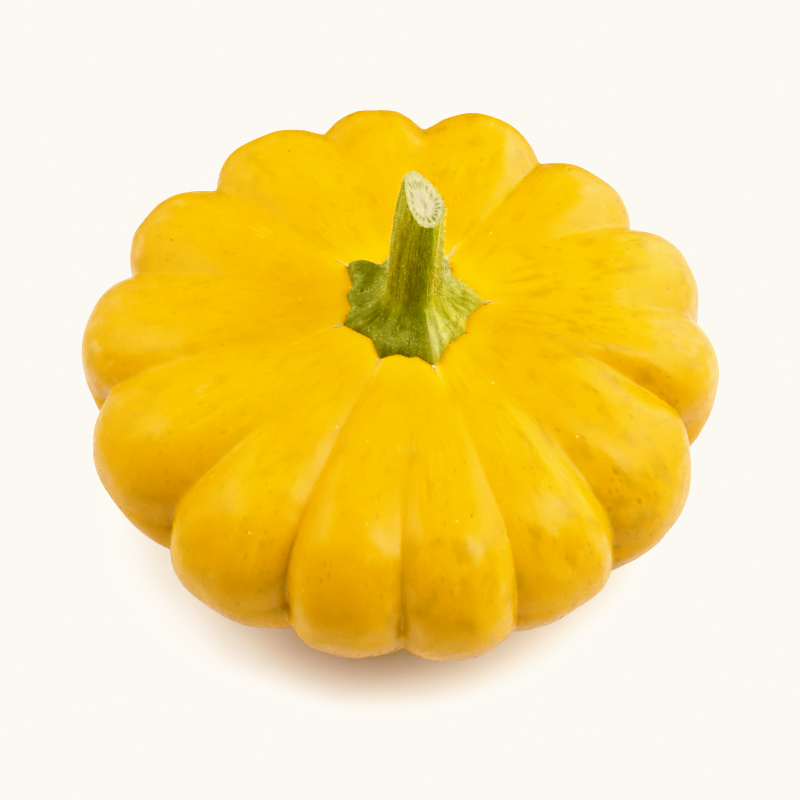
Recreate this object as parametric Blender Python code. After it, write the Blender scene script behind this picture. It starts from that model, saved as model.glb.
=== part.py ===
"""A yellow pattypan squash standing on its blossom end: the lobed fruit and its cut stem.

The origin is the middle of the flat blossom scar, +Z is up the stem and +X is to the right of the front.
Bearings are in degrees, anticlockwise from +X as seen from above, and latitudes run from -90 degrees at
the blossom scar through 0 at the widest line, the rim, to 90 at the crown. Lengths are in metres,
and in millimetres inside the tables.
"""

import bmesh
import bpy
import numpy as np

MM = 0.001

# The fruit as a whole
RIM_HEIGHT = 32.0 * MM
CROWN_RISE = 26.5 * MM
SCAR_RADIUS = 12.0 * MM
CROWN_SHIFT = np.array([1.6, 0.1]) * MM

# How full the side view is: the powers of the cosine of the latitude, for the radius, and of its sine,
# for the height
CROWN_RADIUS_POWER = 0.755
CROWN_HEIGHT_POWER = 0.73
BASE_RADIUS_POWER = 1.09
BASE_HEIGHT_POWER = 1.16

# Each groove and the lobe that follows it: the groove's bearing at the rim, how far it has bent at the
# crown (degrees), its depth at the rim (mm), the share of its depth that it keeps at the crown, and then
# the reach of the lobe's crest from the axis and its lift above the plane of the rim (mm)
GROOVES_AND_LOBES = (
    (-89.7, -1, 4.5, 0.1, 65.0, 0.5),
    (-67.8, 1, 3.5, 0.7, 62.0, -2.0),
    (-42.9, -3, 5.2, 0.35, 63.2, -3.0),
    (-12.7, -4, 6.6, 0.2, 64.6, 0.5),
    (12.4, -12, 3.8, 0.4, 66.1, -0.5),
    (36.0, -6, 5.5, 0.3, 64.5, 0.5),
    (61.3, -8, 5.9, 0.6, 67.4, 1.5),
    (85.8, -2, 5.7, 0.3, 67.6, 0.5),
    (105.5, 2, 4.5, 0.6, 66.2, 1.5),
    (129.9, 11, 6.1, 0.6, 65.7, 0.5),
    (156.9, 14, 5.8, 0.4, 65.6, 2.0),
    (187.4, 10, 5.6, 0.6, 64.8, 3.5),
    (218.9, 7, 6.8, 0.25, 64.6, 0.5),
    (247.6, -2, 6.5, 0.8, 64.5, 1.0),
)
LOBE_FULLNESS = 2.6
CREASE_ROUNDING = 0.10
CREASE_SOFTENED = 1.6
SOFTENING_POWER = 1.3
CROWN_DEPTH_POWER = 0.85
BASE_DEPTH_POWER = 2.5
UNDERCUT_SHARE = 0.32
UNDERCUT_POWER = 0.6
BEND_POWER = 1.2
FADE_START = 0.4
FADE_LENGTH = 0.45
SHIFT_KEPT_WITHIN = 0.25

# The stem's star-shaped foot: bearing and reach (mm) of each point and of each hollow between points
STAR = (
    (4, 15.0), (39, 11.6), (58, 14.4), (78, 11.8), (98, 14.5), (118, 12.0), (139, 16.3),
    (157, 12.2), (166, 12.9), (183, 11.5), (199, 13.8), (227, 11.0), (246, 13.8), (261, 12.2),
    (270, 12.8), (277, 12.6), (288, 15.6), (311, 12.2), (330, 12.9), (344, 11.9),
)
STAR_SHARPNESS = 1.25
SEAT_DEPTH = 1.8 * MM
SEAT_GAP = 0.35 * MM
SEAT_SIDE_GAP = 0.5 * MM
FOOT_RISE = 6.0 * MM
FOOT_LIP = 1.3 * MM
FOOT_RIDGE = 1.4 * MM
POINT_DROOP = 0.7 * MM

# The stem's shaft
STEM_LENGTH = 33.4 * MM
STEM_BASE_RADIUS = 5.7 * MM
STEM_TOP_RADIUS = 4.2 * MM
STEM_BASE_OFFSET = np.array([1.3, 0.0]) * MM
STEM_LEAN = np.array([1.7, -1.0]) * MM
CUT_SLOPE = np.array([-0.93, 0.69])
CUT_BEND = 128.0
CUT_TWIST = -97.0
STEM_RIDGES = ((288, 0.7), (246, 0.4), (203, 0.6), (150, 0.5), (98, 0.6), (55, 0.6), (5, 0.5))
RIDGE_WIDTH = 17.0
RIDGE_SHARE_TAKEN = 0.4 * MM

# Fineness of the solids
LATITUDES = (
    -90, -83, -75, -66, -57, -48, -39, -30, -22, -14, -7, 0,
    7, 14, 21, 28.5, 36, 44, 52, 59, 66, 72, 77, 81.5, 85.5, 88.5,
)
STEPS_PER_LOBE = 10
STEPS_PER_STAR_SIDE = 4
FOOT_INWARD = (0.0, 0.03, 0.12, 0.27, 0.45, 0.64, 0.84, 1.0)
SHAFT_RINGS = 7
SMOOTH_ANGLE = np.radians(38)

SKIN_YELLOW = (0.93, 0.53, 0.01, 1.0)
STEM_GREEN = (0.30, 0.37, 0.045, 1.0)


def eased(x):
    """0 below 0 and 1 above 1, with a smooth S between them."""
    x = np.clip(x, 0, 1)
    return x * x * (3 - 2 * x)


def column(number):
    """One column of GROOVES_AND_LOBES as an array."""
    return np.array([row[number] for row in GROOVES_AND_LOBES], float)


def skin_points(along, latitude):
    """Points of the fruit's skin, for a place along the lobes and a latitude in degrees.

    A place of 3.0 is groove 3 and 3.5 the crest of the lobe after it. A smooth side view, fuller above
    the rim than below it, is swung round the axis, and its reach and lift pass from lobe to lobe on an S.
    Then it is sunk square to the side view, by a rounded V across each groove, which fades towards the
    crown and the scar and softens towards the crown. Just under the rim the sinking is mostly inward, so
    that the skin doesn't fold. A groove's bearing bends as it climbs, and the crown is shifted off the axis.
    """
    along, latitude = np.broadcast_arrays(np.asarray(along, float), np.asarray(latitude, float))
    count = len(GROOVES_AND_LOBES)
    groove = np.floor(along).astype(int)
    across = along - groove
    upper = latitude >= 0
    climb = np.clip(latitude / 90, 0, 1)
    drop = np.clip(-latitude / 90, 0, 1)

    bend = climb**BEND_POWER
    bearings, bends = column(0), column(1)
    here = bearings[groove % count] + bends[groove % count] * bend + 360 * (groove // count)
    following = groove + 1
    there = bearings[following % count] + bends[following % count] * bend + 360 * (following // count)
    bearing = np.radians(here + (there - here) * across)

    lobe = np.floor(along - 0.5).astype(int)
    share = eased(along - 0.5 - lobe)
    reach, lift = (
        (values[lobe % count] * (1 - share) + values[(lobe + 1) % count] * share) * MM
        for values in (column(4), column(5))
    )

    depth, kept = (
        values[groove % count] * (1 - across) + values[following % count] * across
        for values in (column(2) * MM, column(3))
    )
    mound = 1 - np.abs(2 * across - 1) ** LOBE_FULLNESS
    rounding = CREASE_ROUNDING + CREASE_SOFTENED * climb**SOFTENING_POWER * (1 - kept)
    rounded = (np.hypot(mound, rounding) - rounding) / (np.hypot(1, rounding) - rounding)
    fading = 1 - (1 - kept) * eased((climb - FADE_START) / FADE_LENGTH)
    fade_up = (1 - climb) ** CROWN_DEPTH_POWER * fading
    fade_down = (1 - drop) ** BASE_DEPTH_POWER
    sink = depth * (1 - rounded) * np.where(upper, fade_up, fade_down)

    cosine = np.maximum(np.cos(np.radians(latitude)), 1e-9)
    sine = np.abs(np.sin(np.radians(latitude)))
    radius_power = np.where(upper, CROWN_RADIUS_POWER, BASE_RADIUS_POWER)
    height_power = np.where(upper, CROWN_HEIGHT_POWER, BASE_HEIGHT_POWER)
    core = np.where(upper, 0, SCAR_RADIUS)
    side = np.where(upper, 1, -1)
    rise = np.where(upper, CROWN_RISE, RIM_HEIGHT)
    radius = core + (reach - core) * cosine**radius_power
    height = RIM_HEIGHT + side * rise * sine**height_power + lift * cosine ** (2 * radius_power)
    outward = rise * height_power * cosine ** (2 - radius_power)
    upward = side * (reach - core) * radius_power * sine ** (2 - height_power)
    upward = upward * np.where(upper, 1, np.minimum(1, (drop / UNDERCUT_SHARE) ** UNDERCUT_POWER))
    slant = np.hypot(outward, upward)
    radius = radius - sink * outward / slant
    height = height - sink * upward / slant

    beyond = (radius / reach - SHIFT_KEPT_WITHIN) / (1 - SHIFT_KEPT_WITHIN)
    shifted = (1 - eased(beyond)) * upper
    x = radius * np.cos(bearing) + CROWN_SHIFT[0] * shifted
    y = radius * np.sin(bearing) + CROWN_SHIFT[1] * shifted
    return np.stack([x, y, height], axis=-1)


def star_outline():
    """Bearings (radians) and reaches of the foot's outline: pointed at each point, round in each hollow."""
    bearings, reaches = [], []
    for number, (bearing, reach) in enumerate(STAR):
        next_bearing, next_reach = STAR[(number + 1) % len(STAR)]
        turn = (next_bearing - bearing) % 360
        point, hollow = max(reach, next_reach), min(reach, next_reach)
        for part in np.arange(STEPS_PER_STAR_SIDE) / STEPS_PER_STAR_SIDE:
            towards_point = 1 - part if reach > next_reach else part
            bearings.append(bearing + part * turn)
            reaches.append((hollow + (point - hollow) * towards_point**STAR_SHARPNESS) * MM)
    return np.radians(bearings), np.array(reaches)


def ring(bearings, reaches, centre, height):
    """A closed ring of points round a centre, at one height or at one height for each point."""
    x = centre[0] + reaches * np.cos(bearings)
    y = centre[1] + reaches * np.sin(bearings)
    return np.stack([x, y, np.broadcast_to(height, x.shape)], axis=-1)


def lofted_body(name, rings, material=None):
    """One closed object: rings of as many points each, lowest first, joined by quads and capped flat."""
    mesh = bmesh.new()
    rows = [[mesh.verts.new(point) for point in points] for points in rings]
    for lower, upper in zip(rows, rows[1:]):
        for i, corner in enumerate(lower):
            j = (i + 1) % len(lower)
            mesh.faces.new((corner, lower[j], upper[j], upper[i]))
    mesh.faces.new(reversed(rows[0]))
    mesh.faces.new(rows[-1])
    data = bpy.data.meshes.new(name)
    mesh.to_mesh(data)
    mesh.free()
    data.shade_smooth()
    data.set_sharp_from_angle(angle=SMOOTH_ANGLE)
    body = bpy.data.objects.new(name, data)
    bpy.context.scene.collection.objects.link(body)
    if material:
        data.materials.append(material)
    return body


def principled(name, colour, roughness):
    """A plain non-metallic surface."""
    material = bpy.data.materials.new(name)
    material.use_nodes = True
    shader = material.node_tree.nodes["Principled BSDF"]
    shader.inputs["Base Color"].default_value = colour
    shader.inputs["Roughness"].default_value = roughness
    shader.inputs["Metallic"].default_value = 0.0
    material.diffuse_color = colour
    return material


def make_fruit():
    """The fruit's body in rings from the flat scar to the crown, with a star-shaped seat cut in it."""
    count = len(GROOVES_AND_LOBES)
    step = np.arange(STEPS_PER_LOBE) / STEPS_PER_LOBE
    crowded = 0.5 - 0.5 * np.cos(np.pi * step)
    along = (np.arange(count)[:, None] + 0.6 * crowded + 0.4 * step).ravel()
    rings = [skin_points(along, latitude) for latitude in LATITUDES]
    fruit = lofted_body("fruit", rings, principled("squash_skin", SKIN_YELLOW, 0.35))

    bearings, reaches = star_outline()
    crown = RIM_HEIGHT + CROWN_RISE
    seat_rings = [
        ring(bearings, reaches + SEAT_SIDE_GAP, CROWN_SHIFT, crown + height)
        for height in (-SEAT_DEPTH, 3 * SEAT_DEPTH)
    ]
    cutter = lofted_body("seat_cutter", seat_rings)
    cutter.hide_render = True
    cutter.display_type = "WIRE"
    seat = fruit.modifiers.new("stem_seat", "BOOLEAN")
    seat.operation = "DIFFERENCE"
    seat.solver = "EXACT"
    seat.object = cutter


def shaft_radius(bearings, climb):
    """The shaft's radius, tapering as it climbs, with a rounded ridge at each of its bearings."""
    relief = 0.0
    for bearing, height in STEM_RIDGES:
        apart = (np.degrees(bearings) - bearing + 180) % 360 - 180
        relief = relief + height * MM * np.exp(-((apart / RIDGE_WIDTH) ** 2))
    taper = STEM_BASE_RADIUS + (STEM_TOP_RADIUS - STEM_BASE_RADIUS) * climb
    return taper - RIDGE_SHARE_TAKEN + relief


def foot_height(inward, pointed):
    """Height of the foot's surface above its edge, from 0 at the edge to 1 inward at the shaft.

    A round lip at the edge, a hollow sweep up to the shaft, and a ridge that runs out along each point.
    """
    sweep = FOOT_RISE * inward**2.2
    lip = FOOT_LIP * (1 - (1 - inward) ** 5)
    ridge = FOOT_RIDGE * pointed * np.sin(np.pi * inward**0.7)
    return sweep + lip + ridge


def cut_height(places):
    """Height of the slanting cut at each place: a plane, bent and twisted a little as a knife leaves it."""
    from_top = places - (CROWN_SHIFT + STEM_BASE_OFFSET + STEM_LEAN)
    x, y = from_top[:, 0], from_top[:, 1]
    top = RIM_HEIGHT + CROWN_RISE + STEM_LENGTH
    return top + from_top @ CUT_SLOPE + CUT_BEND * x * x + CUT_TWIST * x * y


def make_stem():
    """The stem: a star-shaped foot that sweeps up into a ridged, leaning shaft, cut off on a slant."""
    bearings, reaches = star_outline()
    pointed = (reaches - reaches.min()) / np.ptp(reaches)
    crown = RIM_HEIGHT + CROWN_RISE
    edge = ring(bearings, reaches, CROWN_SHIFT, crown - POINT_DROOP * pointed)
    base = CROWN_SHIFT + STEM_BASE_OFFSET
    foot_top = crown + FOOT_RISE + FOOT_LIP
    shaft = ring(bearings, shaft_radius(bearings, 0.0), base, foot_top)

    rings = [ring(bearings, reaches, CROWN_SHIFT, crown - SEAT_DEPTH + SEAT_GAP)]
    for inward in FOOT_INWARD:
        points = edge + (shaft - edge) * inward
        points[:, 2] = edge[:, 2] * (1 - inward) + crown * inward + foot_height(inward, pointed)
        rings.append(points)

    for climb in np.linspace(0, 1, SHAFT_RINGS + 1)[1:]:
        centre = base + STEM_LEAN * climb**1.5
        points = ring(bearings, shaft_radius(bearings, climb), centre, 0.0)
        points[:, 2] = foot_top + (cut_height(points[:, :2]) - foot_top) * climb
        rings.append(points)
    lofted_body("stem", rings, principled("stem_green", STEM_GREEN, 0.55))


def main():
    for thing in list(bpy.data.objects):
        bpy.data.objects.remove(thing, do_unlink=True)
    make_fruit()
    make_stem()


main()
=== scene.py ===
"""Looks of the yellow pattypan squash: waxy, flecked skin over the lobed fruit, and its hairy green stem.

Lengths are in metres and inside the tables in millimetres. Bearings are in degrees, anticlockwise from +X
as seen from above. Latitudes run from -90 degrees at the blossom scar to 90 at the crown.
"""

import math

import bpy
import numpy as np
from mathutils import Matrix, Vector


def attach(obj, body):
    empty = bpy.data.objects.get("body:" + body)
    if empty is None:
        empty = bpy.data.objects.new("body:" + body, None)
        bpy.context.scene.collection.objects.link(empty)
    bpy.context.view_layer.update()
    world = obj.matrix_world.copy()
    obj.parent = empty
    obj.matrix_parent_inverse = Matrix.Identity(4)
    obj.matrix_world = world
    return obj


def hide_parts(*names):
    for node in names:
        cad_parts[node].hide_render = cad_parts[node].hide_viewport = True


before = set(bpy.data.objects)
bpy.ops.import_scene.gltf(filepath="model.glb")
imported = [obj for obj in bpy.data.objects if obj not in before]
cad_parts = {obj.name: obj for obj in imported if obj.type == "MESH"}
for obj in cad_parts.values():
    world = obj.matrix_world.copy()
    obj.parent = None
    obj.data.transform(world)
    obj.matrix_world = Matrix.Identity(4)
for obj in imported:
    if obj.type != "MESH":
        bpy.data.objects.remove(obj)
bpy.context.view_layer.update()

MM = 0.001

# The fruit, as in the solid part
RIM_HEIGHT = 32.0 * MM
CROWN_RISE = 26.5 * MM
CROWN = RIM_HEIGHT + CROWN_RISE
SCAR_RADIUS = 12.0 * MM
CROWN_SHIFT = np.array([1.6, 0.1]) * MM
CROWN_RADIUS_POWER = 0.755
CROWN_HEIGHT_POWER = 0.73
BASE_RADIUS_POWER = 1.09
BASE_HEIGHT_POWER = 1.16

# Each groove and the lobe after it: bearing at the rim, bend at the crown, depth (mm), share of the depth
# kept at the crown, reach of the crest (mm) and lift of the crest (mm)
GROOVES_AND_LOBES = np.array([
    (-89.7, -1, 4.5, 0.1, 65.0, 0.5),
    (-67.8, 1, 3.5, 0.7, 62.0, -2.0),
    (-42.9, -3, 5.2, 0.35, 63.2, -3.0),
    (-12.7, -4, 6.6, 0.2, 64.6, 0.5),
    (12.4, -12, 3.8, 0.4, 66.1, -0.5),
    (36.0, -6, 5.5, 0.3, 64.5, 0.5),
    (61.3, -8, 5.9, 0.6, 67.4, 1.5),
    (85.8, -2, 5.7, 0.3, 67.6, 0.5),
    (105.5, 2, 4.5, 0.6, 66.2, 1.5),
    (129.9, 11, 6.1, 0.6, 65.7, 0.5),
    (156.9, 14, 5.8, 0.4, 65.6, 2.0),
    (187.4, 10, 5.6, 0.6, 64.8, 3.5),
    (218.9, 7, 6.8, 0.25, 64.6, 0.5),
    (247.6, -2, 6.5, 0.8, 64.5, 1.0),
])
LOBES = len(GROOVES_AND_LOBES)
LOBE_FULLNESS = 2.6
CREASE_ROUNDING = 0.07
CREASE_SOFTENED = 1.6
CROWN_DEPTH_POWER = 0.85
BASE_DEPTH_POWER = 2.5
UNDERCUT_SHARE = 0.32
UNDERCUT_POWER = 0.6
BEND_POWER = 1.2
FADE_START = 0.4
FADE_LENGTH = 0.45
SHIFT_KEPT_WITHIN = 0.25

# The stem, as in the solid part
STAR = (
    (4, 15.0), (39, 11.6), (58, 14.4), (78, 11.8), (98, 14.5), (118, 12.0), (139, 16.3),
    (157, 12.2), (166, 12.9), (183, 11.5), (199, 13.8), (227, 11.0), (246, 13.8), (261, 12.2),
    (270, 12.8), (277, 12.6), (288, 15.6), (311, 12.2), (330, 12.9), (344, 11.9),
)
STAR_SHARPNESS = 1.25
FOOT_RISE = 6.0 * MM
FOOT_LIP = 1.3 * MM
FOOT_RIDGE = 2.6 * MM
FOOT_THICKENED = 0.8 * MM
POINT_DROOP = 0.7 * MM
EDGE_SUNK = 0.55 * MM
STEM_LENGTH = 33.4 * MM
STEM_BASE_RADIUS = 5.7 * MM
STEM_TOP_RADIUS = 4.2 * MM
STEM_BASE_OFFSET = np.array([1.3, 0.0]) * MM
STEM_LEAN = np.array([1.7, -1.0]) * MM
CUT_SLOPE = np.array([-0.93, 0.69])
CUT_BEND = 128.0
CUT_TWIST = -97.0
STEM_RIDGES = ((288, 0.7), (246, 0.4), (203, 0.6), (150, 0.5), (98, 0.6), (55, 0.6), (5, 0.5))
RIDGE_WIDTH = 17.0
STRIPE_DRIFT = 16.0
RIDGE_SHARE_TAKEN = 0.4 * MM

# Fineness of the finished meshes
SKIN_STEPS_PER_LOBE = 50
STEM_STEPS_PER_STAR_SIDE = 18
HAIR_COUNT = 3600


def eased(x):
    """0 below 0 and 1 above 1, with a smooth S between them."""
    x = np.clip(x, 0, 1)
    return x * x * (3 - 2 * x)


def hump(x, centre, width):
    """A bell of height 1 round centre, down to 1/e at width from it."""
    return np.exp(-(((x - centre) / width) ** 2))


def apart(degrees, bearing):
    """How far round the axis from a bearing, in degrees from -180 to 180."""
    return (degrees - bearing + 180) % 360 - 180


def ripples(points, waves, shortest, longest, seed):
    """Smooth irregular relief, about -1 to 1: a sum of sine waves in random directions of space."""
    rng = np.random.default_rng(seed)
    directions = rng.normal(size=(waves, 3))
    directions /= np.linalg.norm(directions, axis=1, keepdims=True)
    lengths = np.geomspace(shortest, longest, waves)
    turns = points @ (directions * (2 * np.pi / lengths)[:, None]).T
    return np.sin(turns + rng.uniform(0, 2 * np.pi, waves)).sum(axis=-1) / math.sqrt(waves)


def grid_normals(points, around_closed=True):
    """Unit normals of a grid, rows upwards and columns anticlockwise, by central differences."""
    if around_closed:
        across = np.roll(points, -1, axis=1) - np.roll(points, 1, axis=1)
    else:
        across = np.gradient(points, axis=1)
    upwards = np.gradient(points, axis=0)
    normals = np.cross(across, upwards)
    return normals / np.maximum(np.linalg.norm(normals, axis=-1, keepdims=True), 1e-12)


def mesh_piece(name, points, faces, material, node=None):
    """A smooth-shaded object at the origin that rides on the squash."""
    data = bpy.data.meshes.new(name)
    data.from_pydata(points.reshape(-1, 3).tolist(), [], faces)
    data.shade_smooth()
    data.materials.append(material)
    piece = bpy.data.objects.new(name, data)
    bpy.context.scene.collection.objects.link(piece)
    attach(piece, "root")
    if node:
        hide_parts(node)
    return piece


def closed_grid_faces(rows, columns):
    """Quads between rings of points, lowest ring first, and a fan over each end ring to its pole.

    The two poles are the points after the rings, bottom pole first.
    """
    ring = np.arange(columns)
    after = (ring + 1) % columns
    start = np.arange(rows - 1)[:, None] * columns
    above = start + columns
    quads = np.stack([start + ring, start + after, above + after, above + ring], axis=-1)
    bottom = np.stack([after, ring, np.full(columns, rows * columns)], axis=-1)
    last = (rows - 1) * columns
    top = np.stack([last + ring, last + after, np.full(columns, rows * columns + 1)], axis=-1)
    return quads.reshape(-1, 4).tolist() + bottom.tolist() + top.tolist()


def with_poles(rings, bottom, top):
    """All the points of the rings, followed by the bottom and the top pole."""
    return np.concatenate([rings.reshape(-1, 3), [bottom, top]])


def store(piece, name, values):
    """Keeps a number or a vector for each point of a piece, for its material to read."""
    values = np.asarray(values, np.float32)
    if values.ndim == 2:
        layer = piece.data.attributes.new(name, "FLOAT_VECTOR", "POINT")
        layer.data.foreach_set("vector", values.ravel())
    else:
        layer = piece.data.attributes.new(name, "FLOAT", "POINT")
        layer.data.foreach_set("value", values)


def lobe_share(along, column):
    """A value of the lobes, passing from the middle of each lobe to the next on a smooth S."""
    values = GROOVES_AND_LOBES[:, column]
    lobe = np.floor(along - 0.5).astype(int)
    share = eased(along - 0.5 - lobe)
    return values[lobe % LOBES] * (1 - share) + values[(lobe + 1) % LOBES] * share


def groove_share(along, column):
    """A value of the grooves, passing evenly from each groove to the next."""
    values = GROOVES_AND_LOBES[:, column]
    groove = np.floor(along).astype(int)
    across = along - groove
    return values[groove % LOBES] * (1 - across) + values[(groove + 1) % LOBES] * across


def bearing_of(along, climb):
    """The bearing in radians of a place along the lobes, where the grooves bend as they climb."""
    bend = climb**BEND_POWER
    groove = np.floor(along).astype(int)
    across = along - groove
    ends = []
    for number in (groove, groove + 1):
        rim, crown_bend = GROOVES_AND_LOBES[number % LOBES, 0], GROOVES_AND_LOBES[number % LOBES, 1]
        ends.append(rim + crown_bend * bend + 360 * (number // LOBES))
    return np.radians(ends[0] + (ends[1] - ends[0]) * across)


def skin_points(along, latitude):
    """The solid part's skin: a smooth side view swung round the axis, sunk by a rounded V at each groove.

    The side view is a power of the latitude's cosine outwards and of its sine upwards. The V's bottom is
    sharper than the solid's at the rim and softens towards the crown.
    """
    along, latitude = np.broadcast_arrays(np.asarray(along, float), np.asarray(latitude, float))
    across = along - np.floor(along)
    upper = latitude >= 0
    climb = np.clip(latitude / 90, 0, 1)
    drop = np.clip(-latitude / 90, 0, 1)
    bearing = bearing_of(along, climb)
    reach = lobe_share(along, 4) * MM
    lift = lobe_share(along, 5) * MM

    kept = groove_share(along, 3)
    mound = 1 - np.abs(2 * across - 1) ** LOBE_FULLNESS
    rounding = CREASE_ROUNDING + CREASE_SOFTENED * climb**1.3 * (1 - kept)
    rounded = (np.hypot(mound, rounding) - rounding) / (np.hypot(1, rounding) - rounding)
    fading = 1 - (1 - kept) * eased((climb - FADE_START) / FADE_LENGTH)
    fade_up = (1 - climb) ** CROWN_DEPTH_POWER * fading
    fade_down = (1 - drop) ** BASE_DEPTH_POWER
    sink = groove_share(along, 2) * MM * (1 - rounded) * np.where(upper, fade_up, fade_down)

    cosine = np.maximum(np.cos(np.radians(latitude)), 1e-9)
    sine = np.abs(np.sin(np.radians(latitude)))
    radius_power = np.where(upper, CROWN_RADIUS_POWER, BASE_RADIUS_POWER)
    height_power = np.where(upper, CROWN_HEIGHT_POWER, BASE_HEIGHT_POWER)
    core = np.where(upper, 0, SCAR_RADIUS)
    side = np.where(upper, 1, -1)
    rise = np.where(upper, CROWN_RISE, RIM_HEIGHT)
    radius = core + (reach - core) * cosine**radius_power
    height = RIM_HEIGHT + side * rise * sine**height_power + lift * cosine ** (2 * radius_power)
    outward = rise * height_power * cosine ** (2 - radius_power)
    upward = side * (reach - core) * radius_power * sine ** (2 - height_power)
    upward = upward * np.where(upper, 1, np.minimum(1, (drop / UNDERCUT_SHARE) ** UNDERCUT_POWER))
    slant = np.hypot(outward, upward)
    radius = radius - sink * outward / slant
    height = height - sink * upward / slant

    beyond = (radius / reach - SHIFT_KEPT_WITHIN) / (1 - SHIFT_KEPT_WITHIN)
    shifted = (1 - eased(beyond)) * upper
    x = radius * np.cos(bearing) + CROWN_SHIFT[0] * shifted
    y = radius * np.sin(bearing) + CROWN_SHIFT[1] * shifted
    return np.stack([x, y, height], axis=-1)


def star_reach(bearings):
    """The foot's reach at any bearing in radians: a power curve from each round hollow to each point."""
    degrees = np.degrees(bearings) % 360
    stops = np.array([bearing for bearing, _ in STAR] + [STAR[0][0] + 360], float)
    reaches = np.array([reach for _, reach in STAR] + [STAR[0][1]], float)
    degrees = np.where(degrees < stops[0], degrees + 360, degrees)
    side = np.clip(np.searchsorted(stops, degrees, side="right") - 1, 0, len(STAR) - 1)
    part = (degrees - stops[side]) / (stops[side + 1] - stops[side])
    first, second = reaches[side], reaches[side + 1]
    towards_point = np.where(first > second, 1 - part, part)
    point, hollow = np.maximum(first, second), np.minimum(first, second)
    return (hollow + (point - hollow) * towards_point**STAR_SHARPNESS) * MM


def skin_columns():
    """Places along the lobes, closer together near the grooves."""
    step = np.arange(SKIN_STEPS_PER_LOBE) / SKIN_STEPS_PER_LOBE
    crowded = 0.5 - 0.5 * np.cos(np.pi * step)
    return (np.arange(LOBES)[:, None] + 0.5 * crowded + 0.5 * step).ravel()


def skin_latitudes():
    """Latitudes of the skin's rings in degrees, as a column, close together round the stem's foot."""
    return np.concatenate([
        np.linspace(-90, 0, 50, endpoint=False),
        np.linspace(0, 79, 52, endpoint=False),
        np.linspace(79, 86.6, 22),
    ])[:, None]


# Relief on the skin in millimetres
SWELL_HEIGHT = 0.22
RIB_HEIGHT = 0.14
DIMPLE_HEIGHT = 0.05
CREASE_DEPTH = 0.4
RIBS_PER_LOBE = 2.5
# Fuller places: height (mm), middle along the lobes, its half-width in lobes, latitude and its half-width
FULLER_PLACES = (
    (1.3, 3, 0.28, 24, 13), (1.2, 14, 1.6, 38, 14), (1.2, 0, 1.6, 38, 14),
    (0.4, 3.6, 0.3, 0, 25), (0.4, 4.7, 0.3, 0, 25), (0.4, 11.4, 0.3, 0, 25),
)
CUSHION_HEIGHT = 0.5 * MM
SEAT_DEPTH = 2.2 * MM
SEAT_FROM_LATITUDE = 60
# The skin's own directions: round the fruit at this radius, and upwards along the skin
GRAIN_RADIUS = 45 * MM
FAR_FROM_FOOT = 60.0


def skin_relief(base, along, latitudes, from_groove, width_mm):
    """How far the skin stands out from the solid's, in metres.

    Broad irregular swells, faint ribs along the lobes, small dimples, a finer crease in each groove, and
    bells of height for the front lobes' shoulders and for the rim where it is a little fuller.
    """
    climb = np.clip(latitudes / 90, 0, 1)
    drop = np.clip(-latitudes / 90, 0, 1)
    across = along - np.floor(along)
    lobe = np.floor(along).astype(int) % LOBES
    rng = np.random.default_rng(14)
    rib_phase, rib_height = rng.uniform(0, 2 * np.pi, LOBES), rng.uniform(0.4, 1.0, LOBES)
    rib_waves = np.sin(2 * np.pi * RIBS_PER_LOBE * across + rib_phase[lobe])
    ribs = rib_height[lobe] * rib_waves * np.sin(np.pi * across) ** 2
    away_from_ends = (1 - climb) * (1 - drop**2)
    swells = ripples(base, 10, 14 * MM, 42 * MM, 3)
    dimples = ripples(base, 14, 3.5 * MM, 9 * MM, 5)
    crease = np.exp(-from_groove * width_mm / 0.9) * (1 - climb) ** 1.8 * (1 - drop) ** 2
    fuller = sum(
        height * hump(along, middle, width) * hump(latitudes, latitude, band)
        for height, middle, width, latitude, band in FULLER_PLACES
    )
    even = (SWELL_HEIGHT * swells + RIB_HEIGHT * ribs) * away_from_ends
    return (even + DIMPLE_HEIGHT * dimples * away_from_ends**0.5 - CREASE_DEPTH * crease + fuller) * MM


def seat_lift(beyond_foot, outline):
    """How far the skin rises round the stem's foot, in a cushion between its points, or dips under it."""
    pointed = (outline / MM - 11.0) / 5.3
    outside = np.maximum(beyond_foot, 0) / (1.6 * MM)
    cushion = CUSHION_HEIGHT * (1 - 0.75 * pointed) * outside * np.exp(1 - outside)
    return cushion - SEAT_DEPTH * eased((-beyond_foot - 0.25 * MM) / (1.2 * MM))


def scar_rings(along):
    """Rings of the blossom scar, from its middle outwards: a dish with faint rings, cracks and a knob."""
    radii = np.linspace(1.0, SCAR_RADIUS / MM, 12, endpoint=False)[:, None] * MM
    bearings = bearing_of(along, np.zeros_like(along))
    x, y = radii * np.cos(bearings), radii * np.sin(bearings)
    inner = radii / SCAR_RADIUS
    cracks = ripples(np.stack([x, y, 0 * x], axis=-1), 12, 1.2 * MM, 5 * MM, 8)
    rings = 0.5 + 0.5 * np.cos(2 * np.pi * inner * 3.5)
    dished = (0.25 + 0.12 * rings + 0.08 * cracks) * MM * eased((1 - inner) / 0.12)
    knob = 0.5 * MM * hump(inner, 0, 0.25)
    return np.stack([x, y, np.broadcast_to(dished + knob, x.shape)], axis=-1)


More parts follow.
